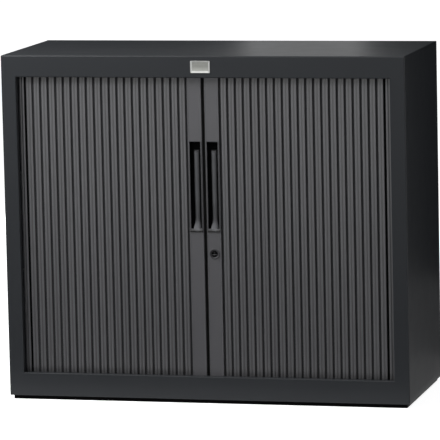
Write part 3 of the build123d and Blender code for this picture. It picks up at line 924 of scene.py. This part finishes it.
def make_grip(rounding):
    """The upright grip beside the finger gap, about X 0: a round bar that flares at its foot."""
    front, floor_y = STILE_Y[0] + 1.6, STILE_Y[0] + 11.8
    left, right = -5.8, 12.8
    low, high = HANDLE_Z[0] + 8.6, HANDLE_Z[1] - 26.8
    right_share = 0.2  # of the flare, as the right edge lies close to the cup
    flare = (  # height above the foot, how much wider, how far forward
        (0.0, 5.2, 2.8),
        (4.0, 4.4, 2.5),
        (8.0, 3.3, 1.9),
        (13.0, 1.9, 1.2),
        (19.0, 0.8, 0.5),
        (26.0, 0.2, 0.0),
    )
    waist_cuts, head_cuts = (34, 48, 64, 84), (16, 9, 4)
    long_edges = lambda points: (
        all(p[1] < front + 0.1 for p in points) and abs(points[0][2] - points[1][2]) > 1
    )
    obj = add_box("grip", (left, front, low), (right, floor_y, high))
    with Editing(obj) as edit:
        edit.cut(2, *(low + height for height, _, _ in flare[1:]))
        edit.cut(2, *(low + height for height in waist_cuts))
        edit.cut(2, *(high - depth for depth in head_cuts))
        for height, wider, forward in flare:
            row = at(2, low + height)
            edit.pick("VERT", both(row, at(0, left)))
            edit.move(-wider, 0, 0)
            edit.pick("VERT", both(row, at(0, right)))
            edit.move(wider * right_share, 0, 0)
            if forward:
                edit.pick("VERT", both(row, at(1, front)))
                edit.move(0, -forward, 0)
        edit.pick("EDGE", either(long_edges, both(at(2, high), at(1, front))))
        edit.bevel(rounding, 7)

    # Painted shade and highlight: lighter at the foot and a little below the head, darker at the
    # waist, at the tip and deep beside the bar
    def darkness(x, y, z):
        height, depth = z - low, high - z
        foot = clamped((height - 2.0) / 24.0)
        sunk = max(0.0, y - front) / 7.0
        waist = math.exp(-(((height - 45) / 30) ** 2))
        head = 0.25 * clamped(1 - depth / 4) - 0.12 * clamped(1 - abs(depth - 9) / 10)
        return 0.04 + 0.49 * foot + 0.13 * waist + head + 0.75 * sunk * (0.35 + 0.65 * foot)

    paint_shade_per_vertex(obj, darkness)
    return obj


class CABINET_OT_handles(bpy.types.Operator):
    """Models one sunk handle with its grip and sets a copy in each stile"""

    bl_idname = "cabinet.handles"
    bl_label = "Handles"

    def execute(self, context):
        cup = make_cup()
        grip = make_grip(sizes().grip_round)
        grip.data.materials.append(finish_named("grip_plastic"))
        for side, sign in SIDES.items():
            shift = Matrix.Translation(corner(sign * STILE_MIDDLE, 0, 0))
            body = f"{side}_door"
            moved = copy_of(cup, f"{side}_handle_cup", shift)
            finish_piece(moved, body, "handle_plastic", [f"{side}_handle"])
            moved = copy_of(grip, f"{side}_handle_grip", shift)
            finish_piece(moved, body, "handle_plastic", [], 50)
        bpy.data.objects.remove(cup)
        bpy.data.objects.remove(grip)
        return {"FINISHED"}


# Lock

class CABINET_OT_lock(bpy.types.Operator):
    """Models the dished rosette and the plug with its key slot"""

    bl_idname = "cabinet.lock"
    bl_label = "Lock"

    def execute(self, context):
        x, front = STILE_MIDDLE, STILE_Y[0]
        face, seat = front - 2.5, front + 0.6
        rosette, rim, dish_slope, rim_bend = 15.2, 2.2, 3.4, 1.1
        well_rim, well_depth = 0.5, 0.9
        ring = add_bar("lock_rosette", rosette, x, (face, seat), LOCK_Z, 72)
        with Editing(ring) as edit:
            edit.pick("FACE", at(1, face))
            edit.inset(rim)
            edit.inset(dish_slope)
            edit.move(0, sizes().lock_dish, 0)
            edit.inset(well_rim)
            edit.extrude(0, well_depth, 0)
            outer = around(x, LOCK_Z, rosette - 0.05, rosette + 0.05)
            edit.pick("EDGE", both(at(1, face), outer))
            edit.bevel(rim_bend, 4)
            # The dish takes a darker copy of the stile paint: painted shade in the rosette's hollow
            dished = around(x, LOCK_Z, 0, rosette - rim + 0.05)
            edit.two_finishes("lock_metal", "lock_dish", both(dished, within(1, face, front + 0.5)))
        barrel_radius, barrel_end = 11.0, front + 24
        barrel = add_bar("barrel", barrel_radius, x, (seat, barrel_end), LOCK_Z, 48)
        barrel.data.materials.append(finish_named("lock_metal"))
        obj = joined("lock_rosette", [ring, barrel])
        finish_piece(obj, "right_door", "lock_metal", ["lock_housing"], 25)

        plug_radius, plug_face, plug_end, plug_bend = 8.8, front - 0.9, front + 25.5, 0.5
        slot_half_x, slot_half_z, slot_floor = 1.4, 6.0, front + 4
        well_radius, well_floor, well_z = 2.3, front + 3, LOCK_Z + 3.6
        ahead = front - 6  # where the cutters begin
        plug = add_bar("lock_plug_face", plug_radius, x, (plug_face, plug_end), LOCK_Z, 56)
        with Editing(plug) as edit:
            edit.pick("EDGE", at(1, plug_face))
            edit.bevel(plug_bend, 2)
        slot = add_box(
            "slot_cutter",
            (x - slot_half_x, ahead, LOCK_Z - slot_half_z),
            (x + slot_half_x, slot_floor, LOCK_Z + slot_half_z),
        )
        cut_out(plug, slot)
        cut_out(plug, add_bar("well_cutter", well_radius, x, (ahead, well_floor), well_z, 24))
        plug.data.materials.append(finish_named("lock_plug"))
        bar_face, bar_back, bar_half, bar_bend = front - 1.6, front + 1, 6.4, 0.4
        bar_low, bar_high = LOCK_Z - 3, LOCK_Z - 1
        bar = add_box(
            "key_bar", (x - bar_half, bar_face, bar_low), (x + bar_half, bar_back, bar_high)
        )
        with Editing(bar) as edit:
            edit.pick("EDGE", at(1, bar_face))
            edit.bevel(bar_bend, 2)
        bar.data.materials.append(finish_named("lock_metal"))
        plug = joined("lock_plug_face", [plug, bar])
        finish_piece(plug, "lock", "lock_metal", ["lock_plug"], 40)
        return {"FINISHED"}


# Badge

class CABINET_OT_badge(bpy.types.Operator):
    """Models the bare badge: a polished rim whose inner slope leads down to a plain plate"""

    bl_idname = "cabinet.badge"
    bl_label = "Badge"

    def execute(self, context):
        half_x, half_z, front, corner_bend = 29.0, 17.5, FRONT - 1.06, 2.0
        low, high = BADGE_Z - half_z, BADGE_Z + half_z
        crown = ((0.14, 0.3), (0.26, 0.14))  # inwards, forward
        rim_flat, slope_width, slope_depth, slope_rise = 1.0, 3.3, 1.3, 1.4
        rim = add_box("badge_rim_bevelled", (-half_x, front, low), (half_x, FRONT, high))
        with Editing(rim) as edit:
            edit.pick("EDGE", both(at(0, -half_x, half_x), at(2, low, high)))
            edit.bevel(corner_bend, 4)
            edit.pick("FACE", at(1, front))
            for inwards, forward in crown:
                edit.inset(inwards)
                edit.move(0, -forward, 0)
            edit.inset(rim_flat)
            edit.inset(slope_width)
            edit.move(0, slope_depth, slope_rise)
        finish_piece(rim, "carcass", "badge_rim", ["badge_frame"], 25)

        plate_inset, plate_face, sweep_forward = 4.9, FRONT - 0.4, 1.05
        rows = (0, 1.5, 3, 5, 7, 9, 11, 13)  # heights over which the plate's foot sweeps forward
        plate_x = half_x - plate_inset
        plate_low = low + plate_inset + slope_rise
        plate_high = high - plate_inset + slope_rise
        plate = add_box(
            "badge_plate_plain", (-plate_x, plate_face, plate_low), (plate_x, FRONT, plate_high)
        )
        with Editing(plate) as edit:
            edit.cut(2, *(plate_low + height for height in rows[1:]))
            for height in rows[:-1]:
                edit.pick("VERT", both(at(1, plate_face), at(2, plate_low + height)))
                edit.move(0, -sweep_forward * (1 - height / rows[-1]) ** 2, 0)
        finish_piece(plate, "carcass", "badge_face", ["badge_plate"], 25)
        return {"FINISHED"}


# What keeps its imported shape

class CABINET_OT_fittings(bpy.types.Operator):
    """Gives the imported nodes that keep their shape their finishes"""

    bl_idname = "cabinet.fittings"
    bl_label = "Fittings"

    def execute(self, context):
        slots = {part["node"]: part["material_slot"] for part in frame["record"]["subparts"]}
        for name, obj in frame["nodes"].items():
            obj.active_material = finish_named(slots[name])
        return {"FINISHED"}


# Stage, in metres

# Name, size, place and target
LIGHTS = (
    ("key", (2.6, 1.1), (-1.9, -1.5, 2.65), (-0.1, -0.2, 0.7)),
    ("fill", (3.0, 3.0), (-2.2, -6.0, 1.8), (0, 0, 0.5)),
    ("rear", (2.4, 0.9), (-2.2, 3.4, 0.55), (0, 0.2, 0.5)),
)
# What the paint reflects: name, middle, turn, size and grey
CARDS = (
    ("card_side_high", (1.0, 0.62, 1.1), UPRIGHT, (0.78, 1.7), 0.0),
    ("card_side_low", (1.0, 0.62, 0.125), UPRIGHT, (0.78, 0.25), 0.12),
    ("card_side_floor", (1.0, 0.18, 0.004), FLAT, (0.78, 0.86), 0.3),
    ("card_floor_left", (-4.0, -2.45, 0.004), FLAT, (9.2, 4.1), 0.0),
    ("card_floor_right", (2.6, -2.45, 0.004), FLAT, (4.0, 4.1), 0.4),
    ("card_top_left", (-1.6, 1.3, 1.5), UPRIGHT, (2.7, 0.96), 0.0),
    ("card_top_middle", (-0.05, 1.3, 1.42), UPRIGHT, (0.26, 0.8), 0.65),
    ("card_top_right", (0.94, 1.3, 1.6), UPRIGHT, (1.58, 1.16), 0.0),
)


def stage_sheet(name, middle, turn, size):
    """A flat sheet of the stage with a new material, and that material's node tree."""
    deselect()
    bpy.ops.mesh.primitive_plane_add(size=1, location=middle, rotation=turn)
    sheet = bpy.context.object
    sheet.name = name
    sheet.scale = (*size, 1)
    material = bpy.data.materials.new(name)
    material.use_nodes = True
    sheet.data.materials.append(material)
    return sheet, material.node_tree


def reflection_card(name, middle, turn, size, grey):
    """A card that only shapes what the paint reflects."""
    card, tree = stage_sheet(name, middle, turn, size)
    tree.nodes.clear()
    glow = add_node(tree, "Emission", Color=(grey, grey, grey, 1))
    add_node(tree, "OutputMaterial", {"Surface": glow.outputs["Emission"]})
    card.visible_camera = False
    card.visible_diffuse = False
    card.visible_shadow = False
    card.visible_transmission = False


def add_light(name, size, location, target, power):
    data = bpy.data.lights.new(name, "AREA")
    data.energy = power
    data.shape = "RECTANGLE"
    data.size, data.size_y = size
    light = bpy.data.objects.new(name, data)
    bpy.context.scene.collection.objects.link(light)
    light.location = location
    light.rotation_euler = (Vector(target) - Vector(location)).to_track_quat("-Z", "Y").to_euler()
    light.visible_camera = False


def white_to_camera(tree, plain, white, surface):
    """Shows the white shader to camera, glossy and transmission rays, the plain to others."""
    path = add_node(tree, "LightPath").outputs
    total = path["Is Camera Ray"]
    for other in ("Is Glossy Ray", "Is Transmission Ray"):
        wires = {0: total, 1: path[other]}
        total = add_node(tree, "Math", wires, {"operation": "MAXIMUM"}).outputs[0]
    mix = add_node(tree, "MixShader", {"Fac": total, 1: plain, 2: white})
    tree.links.new(mix.outputs["Shader"], surface)


def light_room(scene, strength):
    """Even light from all round, which dims towards the right."""
    world = bpy.data.worlds.new("studio")
    scene.world = world
    world.use_nodes = True
    tree = world.node_tree
    tree.nodes.clear()
    way = add_node(tree, "TexCoord").outputs["Generated"]
    across = add_node(tree, "SeparateXYZ", {"Vector": way}).outputs["X"]
    dimming = add_node(
        tree, "MapRange", {"Value": across},
        From_Min=-0.6, From_Max=0.9, To_Min=strength * 1.15, To_Max=strength * 0.45,
    ).outputs["Result"]
    room = add_node(tree, "Background", {"Strength": dimming}, Color=(0.95, 0.97, 1.0, 1))
    white = add_node(tree, "Background", Color=(1, 1, 1, 1))
    surface = add_node(tree, "OutputWorld").inputs["Surface"]
    white_to_camera(tree, room.outputs["Background"], white.outputs["Background"], surface)


def lay_floor(colour):
    """A pale floor that shows white where nothing shades it."""
    width, lift_to_white = 120, 0.9
    floor, tree = stage_sheet("floor", (0, 0, 0), FLAT, (width, width))
    shader = tree.nodes["Principled BSDF"]
    shader.inputs["Base Color"].default_value = (*colour, 1)
    shader.inputs["Roughness"].default_value = 0.9
    shader.inputs["Specular IOR Level"].default_value = 0.1
    plain = shader.outputs["BSDF"]
    glow = add_node(tree, "Emission", Strength=lift_to_white).outputs["Emission"]
    lifted = add_node(tree, "AddShader", {0: plain, 1: glow}).outputs["Shader"]
    white_to_camera(tree, plain, lifted, tree.nodes["Material Output"].inputs["Surface"])


def place_camera(scene):
    """A long lens from the front, a little to the right and above."""
    place, lens_ratio = (2.763, -10.773, 2.056), 8.6505
    yaw, pitch, roll = (math.radians(angle) for angle in (13.761, -7.380, -1.166))
    data = bpy.data.cameras.new("camera")
    camera = bpy.data.objects.new("camera", data)
    scene.collection.objects.link(camera)
    data.sensor_width = 36
    data.lens = data.sensor_width * lens_ratio
    data.shift_x, data.shift_y = -0.1, -0.085
    data.clip_start, data.clip_end = 0.1, 100
    across = (-math.sin(yaw) * math.cos(pitch), math.cos(yaw) * math.cos(pitch))
    ahead = Vector((*across, math.sin(pitch)))
    level = Vector((math.cos(yaw), math.sin(yaw), 0))
    above = level.cross(ahead)
    right = level * math.cos(roll) + above * math.sin(roll)
    up = -level * math.sin(roll) + above * math.cos(roll)
    turn = Matrix((right, up, -ahead)).transposed().to_4x4()
    camera.matrix_world = Matrix.Translation(place) @ turn
    scene.camera = camera


class CABINET_OT_stage(bpy.types.Operator):
    """Sets up the pale floor, the soft light and the camera"""

    bl_idname = "cabinet.stage"
    bl_label = "Stage"

    def execute(self, context):
        scene = context.scene
        light = scene.cabinet_light
        scene.view_settings.view_transform = "Standard"
        light_room(scene, light.room)
        lay_floor(colours().floor)
        for name, *place in LIGHTS:
            add_light(name, *place, getattr(light, f"{name}_power"))
        for card in CARDS:
            reflection_card(*card)
        place_camera(scene)
        return {"FINISHED"}


class CABINET_PT_sidebar(bpy.types.Panel):
    """Lists the sizes, colours and pieces"""

    bl_idname = "CABINET_PT_sidebar"
    bl_label = "Cabinet"
    bl_space_type = "VIEW_3D"
    bl_region_type = "UI"
    bl_category = "Cabinet"

    def draw(self, context):
        for name, cls in GROUPS.items():
            box = self.layout.box()
            for entry in cls.__annotations__:
                box.prop(getattr(context.scene, name), entry)
        for operator in OPERATORS:
            self.layout.operator(operator.bl_idname)


OPERATORS = (
    CABINET_OT_fittings,
    CABINET_OT_front_frame,
    CABINET_OT_outer_panels,
    CABINET_OT_back_panel,
    CABINET_OT_curtains,
    CABINET_OT_stiles,
    CABINET_OT_handles,
    CABINET_OT_lock,
    CABINET_OT_badge,
    CABINET_OT_stage,
)
GROUPS = {
    "cabinet_sizes": CabinetSizes,
    "cabinet_colours": CabinetColours,
    "cabinet_light": CabinetLight,
}


def register():
    for cls in (*GROUPS.values(), *OPERATORS, CABINET_PT_sidebar):
        bpy.utils.register_class(cls)
    for name, cls in GROUPS.items():
        setattr(bpy.types.Scene, name, PointerProperty(type=cls))


def unregister():
    for name in GROUPS:
        delattr(bpy.types.Scene, name)
    for cls in reversed((*GROUPS.values(), *OPERATORS, CABINET_PT_sidebar)):
        bpy.utils.unregister_class(cls)


def main():
    register()
    bpy.ops.cabinet.fittings()
    bpy.ops.cabinet.front_frame()
    bpy.ops.cabinet.outer_panels()
    bpy.ops.cabinet.back_panel()
    bpy.ops.cabinet.curtains()
    bpy.ops.cabinet.stiles()
    bpy.ops.cabinet.handles()
    bpy.ops.cabinet.lock()
    bpy.ops.cabinet.badge()
    bpy.ops.cabinet.stage()


if __name__ == "__main__":
    main()
